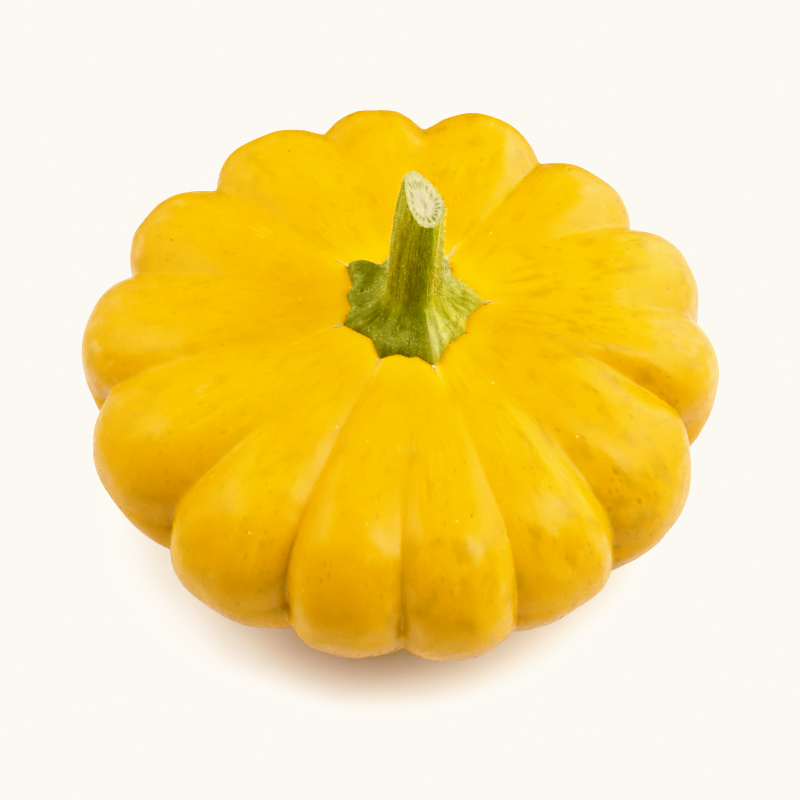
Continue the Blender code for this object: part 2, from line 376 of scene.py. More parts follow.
def make_skin(material):
    """The fruit's whole skin, closed: the blossom scar, the lobes, and the seat under the stem's foot.

    Rings of the solid part's surface, moved along its normals by the skin's relief, above the scar's.
    """
    along = skin_columns()[None, :]
    latitudes = skin_latitudes()
    base = skin_points(along, latitudes)
    climb = np.clip(latitudes / 90, 0, 1)
    drop = np.clip(-latitudes / 90, 0, 1)
    across = along - np.floor(along)
    from_groove = np.minimum(across, 1 - across)
    width_mm = np.hypot(base[..., 0], base[..., 1]) / MM * 2 * np.pi / LOBES
    relief = skin_relief(base, along, latitudes, from_groove, width_mm)
    points = base + grid_normals(base) * relief[..., None]

    offset = points[..., :2] - CROWN_SHIFT
    bearings = np.arctan2(offset[..., 1], offset[..., 0])
    outline = star_reach(bearings)
    beyond_foot = np.hypot(offset[..., 0], offset[..., 1]) - outline
    points[..., 2] += seat_lift(beyond_foot, outline) * (latitudes > SEAT_FROM_LATITUDE)

    scar = scar_rings(along)
    points = np.concatenate([scar, points])
    points[..., 2] = np.maximum(points[..., 2], 0)
    rows, columns = points.shape[:2]
    all_points = with_poles(points, [0, 0, 0.8 * MM], np.append(CROWN_SHIFT, points[-1, :, 2].mean()))
    piece = mesh_piece("fruit_skin", all_points, closed_grid_faces(rows, columns), material, "fruit")

    lengths = np.linalg.norm(np.diff(points, axis=0, prepend=points[:1]), axis=-1).mean(axis=1).cumsum()
    turn = np.broadcast_to(along * 2 * np.pi / LOBES, points.shape[:2])
    upwards = np.broadcast_to(lengths[:, None], turn.shape)
    grain = np.stack([GRAIN_RADIUS * np.cos(turn), GRAIN_RADIUS * np.sin(turn), upwards], axis=-1)

    def keep(name, values, at_scar, bottom, top):
        """Stores values of the rings above the scar, and plain ones for the scar and the poles."""
        below = np.broadcast_to(at_scar, scar.shape[:2])
        store(piece, name, np.concatenate([below.ravel(), np.asarray(values).ravel(), [bottom, top]]))

    shape = base.shape[:2]
    gap = np.where(latitudes > SEAT_FROM_LATITUDE, beyond_foot / MM, FAR_FROM_FOOT)
    store(piece, "grain", with_poles(grain, grain[0, 0], grain[-1, 0]))
    keep("latitude", np.broadcast_to(latitudes / 90, shape), -1.0, -1.0, 1.0)
    # How deep in a groove each point is, which the skin's painted groove shade follows
    keep("groove", crease_shade(from_groove, width_mm, climb, drop), 0.0, 0.0, 0.0)
    keep("foot_gap", gap, FAR_FROM_FOOT, FAR_FROM_FOOT, -10.0)
    keep("scar", hump(np.broadcast_to(latitudes, shape), -90, 4), 1.0, 1.0, 0.0)
    keep("streak", foot_streaks(bearings, beyond_foot) * (latitudes > 50), 0.0, 0.0, 0.0)
    return piece


def crease_shade(from_groove, width_mm, climb, drop):
    """How deep in a groove a point of the skin is, from 0 on the lobes to 1 at the groove's bottom, for
    the skin's painted shade in the grooves.
    """
    near = np.exp(-((from_groove * width_mm / 1.6) ** 1.2))
    return near * (1 - climb) ** 0.5 * (1 - drop) ** 1.2


# Pale dry streaks on the skin from the foot's points outwards: bearing, length (mm), half-width (mm)
STREAKS = (
    (4, 7.0, 0.45), (58, 10.0, 0.7), (98, 6.0, 0.5), (139, 5.0, 0.35), (199, 13.0, 0.3),
    (248, 9.0, 0.6), (290, 8.0, 0.45), (334, 4.0, 0.3),
)
FOOT_REACH_MM = 14


def foot_streaks(bearings, beyond_foot):
    """The pale streaks' strength: a narrow bell across each bearing that tapers off along its length."""
    total = 0.0
    for bearing, length, width in STREAKS:
        sideways = np.radians(apart(np.degrees(bearings), bearing)) * (beyond_foot / MM + FOOT_REACH_MM)
        along = beyond_foot / MM / length
        across = hump(sideways, 0, width * (1.1 - np.clip(along, 0, 1)))
        total = total + across * eased(1 - along) * (along > -0.3)
    return np.clip(total, 0, 1)


def foot_height(inward, pointed, hollowed):
    """The foot's height above its edge: a round lip, a sweep up to the shaft, and ridges to the points.

    Hollowed gives the depth in millimetres of the folds between the ridges.
    """
    sweep = (FOOT_RISE - FOOT_THICKENED) * (1 - (1 - inward**2) ** 0.75)
    lip = (FOOT_LIP + FOOT_THICKENED) * (1 - (1 - inward) ** 7) ** 0.6
    ridge = FOOT_RIDGE * pointed**1.5 * np.sin(np.pi * inward**0.75)
    hollow = hollowed * MM * (1 - pointed) * np.sin(np.pi * inward) ** 2
    return sweep + lip + ridge - hollow


def shaft_radius(bearings, climb):
    """The shaft's radius, tapering as it climbs, with rounded ridges that drift round it a little."""
    relief = 0.0
    degrees = np.degrees(bearings) - STRIPE_DRIFT * climb
    for bearing, height in STEM_RIDGES:
        lower = height * (1 - 0.65 * climb**2) * MM
        relief = relief + lower * hump(apart(degrees, bearing), 0, RIDGE_WIDTH)
    return STEM_BASE_RADIUS + (STEM_TOP_RADIUS - STEM_BASE_RADIUS) * climb - RIDGE_SHARE_TAKEN + relief


def cut_height(places):
    """Height of the slanting cut above a place: a plane, bent and twisted as a knife leaves it."""
    from_top = places - (CROWN_SHIFT + STEM_BASE_OFFSET + STEM_LEAN)
    x, y = from_top[..., 0], from_top[..., 1]
    return CROWN + STEM_LENGTH + from_top @ CUT_SLOPE + CUT_BEND * x * x + CUT_TWIST * x * y


def star_columns():
    """Bearings in radians that include every point and hollow of the star, evenly spaced between them."""
    stops = np.array([bearing for bearing, _ in STAR] + [STAR[0][0] + 360], float)
    part = np.arange(STEM_STEPS_PER_STAR_SIDE) / STEM_STEPS_PER_STAR_SIDE
    return np.radians((stops[:-1, None] + np.diff(stops)[:, None] * part).ravel())


def strands(bearings, climb, seed):
    """Fine lengthwise strands, about -1 to 1: waves round the stem that drift as they climb."""
    rng = np.random.default_rng(seed)
    total = 0.0
    for count in (17, 26, 37, 53, 71):
        drift, phase = rng.uniform(-2, 2), rng.uniform(0, 2 * np.pi)
        total = total + np.sin(count * bearings + phase + drift * climb)
    return total / 3


FOOT_RINGS = 44
SHAFT_RINGS = 55
CUT_RINGS = (0.985, 0.95, 0.9, 0.85, 0.8, 0.74, 0.68, 0.62, 0.56, 0.5, 0.43, 0.36, 0.29, 0.22, 0.16, 0.11)
WRINKLE_HEIGHT = 0.08 * MM
LUMP_HEIGHT = 0.25 * MM
STRAND_HEIGHT = 0.11 * MM
# Share of the way from the foot's edge to the cut that is the foot, for the colours
FOOT_SHARE = 0.3
# The stem's own directions for its strands: round it at this radius, and this share of the height
STRAND_RADIUS = 5 * MM
STRAND_CLIMB = 0.12


def make_stem(material):
    """The stem, closed: under the foot, out over its points, up the ridged shaft and across the cut.

    Every ring has a point at each bearing of the star. On the foot, the rings pass evenly from its edge
    to the shaft's, raised by the foot's height. On the shaft, each ring is round its leaning middle.
    """
    bearings = star_columns()[None, :]
    reaches = star_reach(bearings)
    pointed = (reaches - reaches.min()) / np.ptp(reaches)
    hollowed = 1.0 + 1.8 * hump(apart(np.degrees(bearings), 168), 0, 42)

    def at(reach, centre, height):
        x, y = centre[0] + reach * np.cos(bearings), centre[1] + reach * np.sin(bearings)
        return np.stack([x, y, np.broadcast_to(height, x.shape)], axis=-1)

    edge = at(reaches, CROWN_SHIFT, CROWN - EDGE_SUNK - POINT_DROOP * pointed)
    base = CROWN_SHIFT + STEM_BASE_OFFSET
    foot_top = CROWN + FOOT_RISE + FOOT_LIP
    shaft = at(shaft_radius(bearings, 0.0), base, foot_top)
    rings, side, height_share = [], [], []

    def ring(points, on_side, share):
        rings.append(points[0])
        side.append(on_side)
        height_share.append(share)

    for inset, depth in ((4.0, 1.0), (0.8, 0.9), (0.15, 0.6)):
        height = CROWN - EDGE_SUNK - depth * MM - 0.3 * MM * pointed
        ring(at(reaches - inset * MM, CROWN_SHIFT, height), 1.0, 0.0)
    under_rings = len(rings)
    for inward in np.linspace(0, 1, FOOT_RINGS) ** 1.25:
        points = edge + (shaft - edge) * inward
        midway = np.sin(np.pi * np.clip(inward, 0, 1))
        wrinkles = WRINKLE_HEIGHT * strands(bearings, inward, 4) * midway**0.7
        lumps = LUMP_HEIGHT * ripples(points, 9, 2.5 * MM, 7 * MM, 21) * midway
        surface = foot_height(inward, pointed, hollowed) + wrinkles + lumps
        points[..., 2] = edge[..., 2] * (1 - inward) + CROWN * inward + surface
        ring(points, 1.0, FOOT_SHARE * inward)
    for climb in np.linspace(0, 1, SHAFT_RINGS + 1)[1:]:
        centre = base + STEM_LEAN * climb**1.5
        fine = STRAND_HEIGHT * strands(bearings, 3 * climb, 4) * (1 - 0.5 * climb)
        points = at(shaft_radius(bearings, climb) + fine, centre, 0.0)
        points[..., 2] = foot_top + (cut_height(points[..., :2]) - foot_top) * climb
        ring(points, 1.0, FOOT_SHARE + (1 - FOOT_SHARE) * climb)
    grown_rings = len(rings)

    rim = rings[-1]
    middle = np.append(rim[:, :2].mean(axis=0), 0.0)
    middle[2] = cut_height(middle[:2])
    spokes = np.maximum(np.sin(19 * bearings[0] + 3 * np.sin(2 * bearings[0])), -0.3)
    for inner in CUT_RINGS:
        points = middle + (rim - middle) * inner
        bundles = hump(inner, 0.66, 0.12) * spokes
        pith = 0.5 * hump(inner, 0, 0.16) + 0.12 * hump(inner, 0.4, 0.15)
        ragged = 0.06 * ripples(points, 10, 0.7 * MM, 2.5 * MM, 30)
        relief = 0.12 * bundles - pith + ragged - 0.15 * (1 - inner)
        points[:, 2] = cut_height(points[:, :2]) + relief * MM
        ring(points[None], 0.0, inner)

    points = np.array(rings)
    rows, columns = points.shape[:2]
    bottom_pole = np.array([*CROWN_SHIFT, CROWN - 1.0 * MM])
    top_pole = middle - [0, 0, 0.9 * MM]
    all_points = with_poles(points, bottom_pole, top_pole)
    piece = mesh_piece("stem_green", all_points, closed_grid_faces(rows, columns), material, "stem")

    round_stem = np.broadcast_to(bearings, (rows, columns))
    share = np.broadcast_to(np.array(height_share)[:, None], (rows, columns))
    on_side = np.broadcast_to(np.array(side)[:, None], (rows, columns))
    x, y = STRAND_RADIUS * np.cos(round_stem), STRAND_RADIUS * np.sin(round_stem)
    strand = np.stack([x, y, points[..., 2] * STRAND_CLIMB], axis=-1)
    climbed = np.clip((share - FOOT_SHARE) / (1 - FOOT_SHARE), 0, 1)
    on_foot = eased((FOOT_SHARE - share) / 0.12) * on_side
    tint = side_colours(round_stem, climbed, 0.75 * on_foot)
    tint = np.where(on_side[..., None] > 0.5, tint, cut_colours(round_stem, share))
    store(piece, "tint", with_poles(tint, tint[0, 0], tint[-1, 0]))
    store(piece, "side", np.append(on_side, [1.0, 0.0]))
    store(piece, "strand", with_poles(strand, strand[0, 0], strand[-1, 0]))
    return points[under_rings:grown_rings]


STEM_BASE_GREEN = (0.17, 0.165, 0.002)
# The pale down over the whole stem adds this much blue
STEM_DOWN_BLUE = 0.016
# Colour bands round the shaft and the foot: bearing at the foot, half-width (degrees), strength, colour
STEM_STRIPES = (
    (180, 22, 0.8, (0.34, 0.32, 0.02)),
    (207, 9, 0.8, (0.34, 0.265, 0.002)),
    (228, 9, 0.8, (0.33, 0.30, 0.003)),
    (240, 4, 0.6, (0.34, 0.32, 0.02)),
    (257, 10, 0.9, (0.165, 0.168, 0.002)),
    (275, 6, 0.9, (0.15, 0.205, 0.002)),
    (289, 9, 0.9, (0.29, 0.32, 0.004)),
    (309, 7, 0.9, (0.56, 0.46, 0.03)),
    (325, 12, 0.7, (0.48, 0.41, 0.012)),
    (350, 8, 0.7, (0.43, 0.41, 0.04)),
    (20, 14, 0.6, (0.22, 0.24, 0.003)),
    (60, 10, 0.7, (0.12, 0.13, 0.001)),
    (85, 12, 0.6, (0.33, 0.32, 0.02)),
    (115, 10, 0.7, (0.14, 0.15, 0.002)),
    (145, 12, 0.6, (0.29, 0.28, 0.01)),
)
# The foot's pale, bluish bands on its right, from bearing 292 round to 50, are partly the down's pale
# colour and partly a painted sheen of the down
FOOT_BANDS = (
    (270, 40, 1.0, (0.155, 0.140, 0.002)),
    (232, 22, 1.0, (0.110, 0.105, 0.002)),
    (200, 24, 1.0, (0.115, 0.110, 0.003)),
    (165, 30, 1.0, (0.180, 0.165, 0.025)),
    (292, 7, 1.0, (0.46, 0.39, 0.08)),
    (312, 9, 1.0, (0.50, 0.42, 0.08)),
    (335, 20, 1.0, (0.43, 0.355, 0.02)),
    (5, 25, 1.0, (0.44, 0.375, 0.04)),
    (50, 25, 0.8, (0.33, 0.29, 0.04)),
)
CUT_RIM = (0.35, 0.31, 0.09)
CUT_PITH = (0.46, 0.385, 0.21)
CUT_LIME = (0.22, 0.22, 0.01)
# Dark green of the deepest bundles, also used as painted shade in the cut's small central hollow
CUT_DEEP_GREEN_AND_SHADE = (0.13, 0.14, 0.005)


def mixed(first, second, share):
    """Blends two colours or rows of colours by a share for each point."""
    share = np.asarray(share)[..., None]
    return first * (1 - share) + np.asarray(second) * share


def side_colours(bearings, climb, foot_share):
    """Colours of the stem's side: bands that drift round it as they climb, and the foot's own bands,
    whose pale bluish ones on the right also hold a painted sheen of the down.
    """
    colours = np.broadcast_to(np.array(STEM_BASE_GREEN), (*bearings.shape, 3))
    degrees = np.degrees(bearings) - STRIPE_DRIFT * climb
    for bearing, width, strength, colour in STEM_STRIPES:
        colours = mixed(colours, colour, strength * hump(apart(degrees, bearing), 0, width))
    foot = np.broadcast_to(np.array(STEM_BASE_GREEN), colours.shape)
    for bearing, width, strength, colour in FOOT_BANDS:
        foot = mixed(foot, colour, strength * hump(apart(degrees, bearing), 0, width))
    colours = colours * (1 + 0.35 * eased((climb - 0.55) / 0.45))[..., None]
    down = np.array([0, 0, STEM_DOWN_BLUE])
    return colours * (1 - foot_share[..., None]) + foot * foot_share[..., None] + down


def cut_colours(bearings, inner):
    """Colours of the cut: pale rim, a ring of green bundles like spokes, pale pith, and painted shade in
    the hollow at its centre.
    """
    spokes = 0.5 + 0.5 * np.sin(20 * bearings + 2.0 * np.sin(3 * bearings))
    wander = 0.66 + 0.04 * np.sin(5 * bearings) + 0.03 * np.sin(11 * bearings + 1)
    ring = hump(inner, wander, 0.11)
    lower_right = hump(apart(np.degrees(bearings), 292), 0, 26)
    colours = np.broadcast_to(np.array(CUT_PITH), (*bearings.shape, 3))
    colours = mixed(colours, CUT_RIM, eased((inner - 0.8) / 0.12))
    colours = mixed(colours, CUT_LIME, ring * (0.25 + 0.75 * spokes))
    colours = mixed(colours, CUT_DEEP_GREEN_AND_SHADE, 0.8 * hump(inner, wander + 0.04, 0.05) * spokes**4)
    colours = mixed(colours, CUT_DEEP_GREEN_AND_SHADE, 0.4 * hump(inner, wander - 0.1, 0.035) * (1 - spokes) ** 3)
    colours = mixed(colours, CUT_LIME, 0.7 * lower_right * hump(inner, 0.6, 0.2) * (0.4 + 0.6 * spokes))
    # Painted shade: darker at the middle of the cut, in its small hollow
    return mixed(colours, CUT_DEEP_GREEN_AND_SHADE, 0.5 * hump(inner, 0, 0.07))


def node(tree, kind, inputs=None, **settings):
    """A node with these settings, each input given a plain value or another node's output."""
    made = tree.nodes.new(kind)
    for name, value in settings.items():
        setattr(made, name, value)
    for name, value in (inputs or {}).items():
        if isinstance(value, bpy.types.NodeSocket):
            tree.links.new(value, made.inputs[name])
        else:
            made.inputs[name].default_value = value
    return made


def maths(tree, operation, first, second=0.0):
    """The result of one operation on two numbers."""
    return node(tree, "ShaderNodeMath", {0: first, 1: second}, operation=operation).outputs[0]


def times(tree, *numbers):
    """The product of two or more numbers."""
    product = numbers[0]
    for number in numbers[1:]:
        product = maths(tree, "MULTIPLY", product, number)
    return product


def blend(tree, share, first, second):
    """The first colour turning into the second by a share from 0 to 1."""
    return node(tree, "ShaderNodeMix", {0: share, 6: first, 7: second}, data_type="RGBA").outputs[2]


def ranged(tree, value, low, high):
    """0 at low and 1 at high, with a smooth S between."""
    inputs = {"Value": value, "From Min": low, "From Max": high}
    return node(tree, "ShaderNodeMapRange", inputs, interpolation_type="SMOOTHSTEP").outputs[0]


def stored(tree, name, output="Fac"):
    """A number or a vector that the mesh keeps for each point."""
    return node(tree, "ShaderNodeAttribute", attribute_name=name).outputs[output]


def effect(name, inputs, outputs):
    """A new node group with named inputs, each of a kind and a plain value, and outputs of numbers."""
    group = bpy.data.node_groups.new(name, "ShaderNodeTree")
    for label, (kind, default) in inputs.items():
        socket = group.interface.new_socket(label, in_out="INPUT", socket_type=kind)
        if default is not None:
            socket.default_value = default
    for label in outputs:
        group.interface.new_socket(label, in_out="OUTPUT", socket_type="NodeSocketFloat")
    return group, group.nodes.new("NodeGroupInput").outputs, group.nodes.new("NodeGroupOutput").inputs


def sized(tree, place, size_mm, stretch):
    """A place in units of a size in millimetres, drawn out along its third direction."""
    shorter = maths(tree, "DIVIDE", 1.0, stretch)
    long = node(tree, "ShaderNodeCombineXYZ", {0: 1.0, 1: 1.0, 2: shorter}).outputs[0]
    drawn = node(tree, "ShaderNodeVectorMath", {0: place, 1: long}, operation="MULTIPLY").outputs[0]
    scale = maths(tree, "DIVIDE", 1000.0, size_mm)
    return node(tree, "ShaderNodeVectorMath", {0: drawn, "Scale": scale}, operation="SCALE").outputs[0]


def make_scattered_marks():
    """Separate oval marks, one near the middle of some of the cells of a random pattern."""
    group, given, out = effect("Scattered marks", {
        "Place": ("NodeSocketVector", None),
        "Spacing mm": ("NodeSocketFloat", 3.0),
        "Stretch": ("NodeSocketFloat", 1.0),
        "Size": ("NodeSocketFloat", 0.2),
        "Share": ("NodeSocketFloat", 0.5),
    }, ["Mask"])
    place = sized(group, given["Place"], given["Spacing mm"], given["Stretch"])
    cells = node(group, "ShaderNodeTexVoronoi", {"Vector": place, "Scale": 1.0}, feature="F1")
    chance = node(group, "ShaderNodeSeparateColor", {0: cells.outputs["Color"]}).outputs
    reach = maths(group, "MULTIPLY", given["Size"], maths(group, "ADD", chance[1], 0.3))
    inside = ranged(group, cells.outputs["Distance"], reach, maths(group, "MULTIPLY", reach, 0.35))
    kept = maths(group, "LESS_THAN", chance[0], given["Share"])
    group.links.new(maths(group, "MULTIPLY", inside, kept), out["Mask"])
    return group


def make_soft_patches():
    """Soft irregular patches of a given size, drawn out along the third direction of the place."""
    group, given, out = effect("Soft patches", {
        "Place": ("NodeSocketVector", None),
        "Size mm": ("NodeSocketFloat", 10.0),
        "Stretch": ("NodeSocketFloat", 1.0),
        "Low": ("NodeSocketFloat", 0.4),
        "High": ("NodeSocketFloat", 0.6),
    }, ["Mask", "Value"])
    place = sized(group, given["Place"], given["Size mm"], given["Stretch"])
    cloud = node(group, "ShaderNodeTexNoise", {"Vector": place, "Scale": 1.0, "Detail": 3.0}).outputs[0]
    group.links.new(ranged(group, cloud, given["Low"], given["High"]), out["Mask"])
    group.links.new(cloud, out["Value"])
    return group


def use(tree, group, output="Mask", **inputs):
    """One output of a node group, with its inputs given by name, _ for a space."""
    given = {name.replace("_", " "): value for name, value in inputs.items()}
    return node(tree, "ShaderNodeGroup", given, node_tree=group).outputs[output]


def new_material(name):
    """A material with only a Principled surface in it."""
    material = bpy.data.materials.new(name)
    material.use_nodes = True
    tree = material.node_tree
    tree.nodes.clear()
    surface = tree.nodes.new("ShaderNodeBsdfPrincipled")
    tree.links.new(surface.outputs[0], tree.nodes.new("ShaderNodeOutputMaterial").inputs["Surface"])
    return material, tree, surface


# Colours of the skin, linear
DEEP_YELLOW = (0.575, 0.243, 0.001, 1)
RIPE_YELLOW = (0.60, 0.263, 0.0012, 1)
PALE_UNDERSIDE = (0.56, 0.33, 0.02, 1)
# Painted shade at the bottom of the grooves
GROOVE_SHADE_OLIVE = (0.30, 0.20, 0.003, 1)
GRAIN_ORANGE = (0.49, 0.20, 0.001, 1)
STRAND_YELLOW = (0.68, 0.33, 0.02, 1)
MOTTLE_OLIVE = (0.36, 0.18, 0.004, 1)
FLECK_OLIVE = (0.27, 0.16, 0.006, 1)
DASH_OLIVE = (0.24, 0.15, 0.006, 1)
SMEAR_PEACH = (0.66, 0.34, 0.09, 1)
SPECK_DARK = (0.10, 0.09, 0.015, 1)
DOT_CREAM = (0.75, 0.45, 0.16, 1)
SCUFF_TAN = (0.62, 0.36, 0.10, 1)
# Painted light that lifts the shade of the stem's foot off the skin round it
PAINTED_LIGHT_BY_FOOT = (0.76, 0.36, 0.002, 1)
STREAK_TAN = (0.66, 0.39, 0.11, 1)
CORK_DARK = (0.42, 0.27, 0.11, 1)
CORK_PALE = (0.60, 0.44, 0.20, 1)


def make_skin_material(marks, patches):
    """Waxy yellow skin: mottles, olive flecks, pale dots, scuffs, strands and a corky scar, with painted
    shade in the grooves and painted light round the stem's foot.
    """
    material, tree, surface = new_material("waxy_skin")
    grain = stored(tree, "grain", "Vector")
    place = node(tree, "ShaderNodeTexCoord").outputs["Object"]
    latitude = stored(tree, "latitude")
    groove = stored(tree, "groove")
    scar = stored(tree, "scar")
    shoulder = ranged(tree, latitude, -0.75, -0.1)
    not_crown = ranged(tree, latitude, 0.97, 0.80)

    tone = use(tree, patches, Place=place, Size_mm=22.0, Low=0.35, High=0.65)
    colour = blend(tree, tone, DEEP_YELLOW, RIPE_YELLOW)
    underside = ranged(tree, latitude, -0.4, -1.0)
    colour = blend(tree, times(tree, underside, 0.45), colour, PALE_UNDERSIDE)
    # Painted shade: the skin turns darker and olive, in patches, towards the bottom of each groove
    groove_shade_cover = use(tree, patches, Place=place, Size_mm=16.0, Low=0.42, High=0.62)
    colour = blend(tree, times(tree, groove, groove_shade_cover, 0.5), colour, GROOVE_SHADE_OLIVE)
    fine_grain = use(tree, patches, Place=place, Size_mm=0.55, Low=0.35, High=0.65)
    colour = blend(tree, times(tree, fine_grain, 0.3), colour, GRAIN_ORANGE)

    strand = use(tree, patches, Place=grain, Size_mm=0.9, Stretch=14.0, Low=0.52, High=0.72)
    strand_cover = use(tree, patches, Place=place, Size_mm=11.0, Low=0.45, High=0.65)
    colour = blend(tree, times(tree, strand, strand_cover, 0.45), colour, STRAND_YELLOW)

    sunny = ranged(tree, node(tree, "ShaderNodeSeparateXYZ", {0: place}).outputs["X"], -0.03, 0.045)
    much = maths(tree, "ADD", 0.38, times(tree, sunny, 0.32))
    mottle = use(tree, patches, Place=grain, Size_mm=3.2, Stretch=2.0, Low=0.50, High=0.70)
    mottle_cover = use(tree, patches, Place=place, Size_mm=24.0, Low=0.33, High=0.50)
    colour = blend(tree, times(tree, mottle, mottle_cover, not_crown, much), colour, MOTTLE_OLIVE)
    fleck = use(tree, marks, Place=grain, Spacing_mm=1.05, Stretch=2.6, Size=0.34, Share=0.6)
    fleck_cover = use(tree, patches, Place=place, Size_mm=15.0, Low=0.40, High=0.54)
    colour = blend(tree, times(tree, fleck, fleck_cover, not_crown, much), colour, FLECK_OLIVE)
    dash = use(tree, marks, Place=grain, Spacing_mm=1.9, Stretch=3.2, Size=0.12, Share=0.6)
    dash_cover = use(tree, patches, Place=place, Size_mm=20.0, Low=0.36, High=0.48)
    colour = blend(tree, times(tree, dash, dash_cover, not_crown, 0.5), colour, DASH_OLIVE)

    below_shoulder = ranged(tree, latitude, 0.5, 0.25)
    above_base = ranged(tree, latitude, -0.5, -0.1)
    smear = use(tree, patches, Place=grain, Size_mm=2.6, Stretch=1.6, Low=0.50, High=0.66)
    smear_cover = use(tree, patches, Place=place, Size_mm=18.0, Low=0.46, High=0.60)
    smear = times(tree, smear, smear_cover, times(tree, below_shoulder, above_base), 0.45)
    colour = blend(tree, smear, colour, SMEAR_PEACH)
    speck = use(tree, marks, Place=grain, Spacing_mm=8.0, Stretch=1.6, Size=0.04, Share=0.5)
    colour = blend(tree, times(tree, speck, 0.75), colour, SPECK_DARK)

    dots = use(tree, marks, Place=place, Spacing_mm=3.4, Size=0.1, Share=0.45)
    colour = blend(tree, times(tree, dots, not_crown, 0.8), colour, DOT_CREAM)
    scuff_area = use(tree, patches, Place=place, Size_mm=13.0, Low=0.62, High=0.74)
    scratches = use(tree, patches, Place=grain, Size_mm=0.7, Stretch=4.0, Low=0.42, High=0.62)
    scuff = times(tree, scuff_area, scratches, shoulder, not_crown)
    colour = blend(tree, times(tree, scuff, 0.25), colour, SCUFF_TAN)

    # Painted light: the skin is lighter and yellower within 9 mm of the stem's foot, to lift the shade
    # that falls there
    painted_light_near_foot = ranged(tree, stored(tree, "foot_gap"), 9.0, 0.0)
    colour = blend(tree, times(tree, painted_light_near_foot, 0.5), colour, PAINTED_LIGHT_BY_FOOT)
    colour = blend(tree, times(tree, stored(tree, "streak"), 0.5), colour, STREAK_TAN)
    cork = use(tree, patches, Place=place, Size_mm=1.6, Low=0.4, High=0.6)
    colour = blend(tree, scar, colour, blend(tree, cork, CORK_DARK, CORK_PALE))
    tree.links.new(colour, surface.inputs["Base Color"])

    wax = use(tree, patches, Place=place, Size_mm=5.0, Low=0.3, High=0.7)
    roughness = maths(tree, "ADD", 0.24, times(tree, wax, 0.1))
    roughness = maths(tree, "ADD", roughness, times(tree, scuff, 0.25))
    roughness = maths(tree, "ADD", roughness, times(tree, scar, 0.4))
    tree.links.new(roughness, surface.inputs["Roughness"])
    surface.inputs["IOR"].default_value = 1.42

    fine = use(tree, patches, "Value", Place=place, Size_mm=1.6)
    height = maths(tree, "ADD", fine, use(tree, patches, "Value", Place=grain, Size_mm=1.0, Stretch=8.0))
    height = maths(tree, "SUBTRACT", height, times(tree, speck, 1.5))
    waves = use(tree, patches, "Value", Place=grain, Size_mm=3.0, Stretch=2.5)
    height = maths(tree, "ADD", height, times(tree, waves, 2.5))
    bump = node(tree, "ShaderNodeBump", {"Height": height, "Strength": 0.5, "Distance": 0.06 * MM})
    tree.links.new(bump.outputs[0], surface.inputs["Normal"])
    return material


# Colours on the stem, linear
STRAND_SHADE = (0.55, 0.6, 0.5, 1)
STEM_PATCH = (0.45, 0.46, 0.12, 1)
STEM_SPECK = (0.66, 0.62, 0.30, 1)
CUT_GRAIN = (0.78, 0.75, 0.42, 1)
DOWN_SHEEN = (0.85, 0.85, 0.65, 1)
HAIR_COLOUR = (0.72, 0.67, 0.28, 1)
DRY_TIP_COLOUR = (0.50, 0.34, 0.15, 1)


def make_stem_material(marks, patches):
    """Green stem: the mesh's own bands and cut, with fine strands, pale patches and specks, and down."""
    material, tree, surface = new_material("ridged_stem")
    strand_place = stored(tree, "strand", "Vector")
    place = node(tree, "ShaderNodeTexCoord").outputs["Object"]
    side = stored(tree, "side")
    on_cut = maths(tree, "SUBTRACT", 1.0, side)
    tint = stored(tree, "tint", "Color")

    strand = use(tree, patches, Place=strand_place, Size_mm=0.45, Stretch=1.0, Low=0.35, High=0.65)
    shaded = {0: 1.0, 6: tint, 7: STRAND_SHADE}
    darker = node(tree, "ShaderNodeMix", shaded, data_type="RGBA", blend_type="MULTIPLY").outputs[2]
    shade = times(tree, maths(tree, "SUBTRACT", 1.0, strand), side, 0.75)
    colour = blend(tree, shade, tint, darker)
    patch = use(tree, patches, Place=place, Size_mm=2.2, Low=0.5, High=0.68)
    colour = blend(tree, times(tree, patch, side, 0.25), colour, STEM_PATCH)
    specks = use(tree, marks, Place=place, Spacing_mm=0.8, Size=0.22, Share=0.4)
    colour = blend(tree, times(tree, specks, side, 0.5), colour, STEM_SPECK)
    grains = use(tree, patches, Place=place, Size_mm=0.5, Low=0.5, High=0.7)
    colour = blend(tree, times(tree, on_cut, grains, 0.3), colour, CUT_GRAIN)
    tree.links.new(colour, surface.inputs["Base Color"])
    surface.inputs["Roughness"].default_value = 0.45
    surface.inputs["IOR"].default_value = 1.4
    surface.inputs["Sheen Weight"].default_value = 0.1
    surface.inputs["Sheen Roughness"].default_value = 0.4
    surface.inputs["Sheen Tint"].default_value = DOWN_SHEEN

    height = maths(tree, "ADD", strand, use(tree, patches, "Value", Place=place, Size_mm=0.5))
    bump = node(tree, "ShaderNodeBump", {"Height": height, "Strength": 0.6, "Distance": 0.1 * MM})
    tree.links.new(bump.outputs[0], surface.inputs["Normal"])
    return material


def make_plain_material(name, colour, roughness):
    """One even colour, for the hairs and the dry tips."""
    material, _, surface = new_material(name)
    surface.inputs["Base Color"].default_value = colour
    surface.inputs["Roughness"].default_value = roughness
    return material


HAIR_LENGTHS_MM = (0.3, 1.0)
HAIR_THICKNESSES_MM = (0.035, 0.06)
HAIR_LEAN = 0.45
HAIR_SUNK = 0.08 * MM
# The shaft's front is barer: its bearing and half-width in degrees, and how much shorter its hairs are
BARE_SIDE = 268
BARE_WIDTH = 22
BARE_SHARE = 0.7


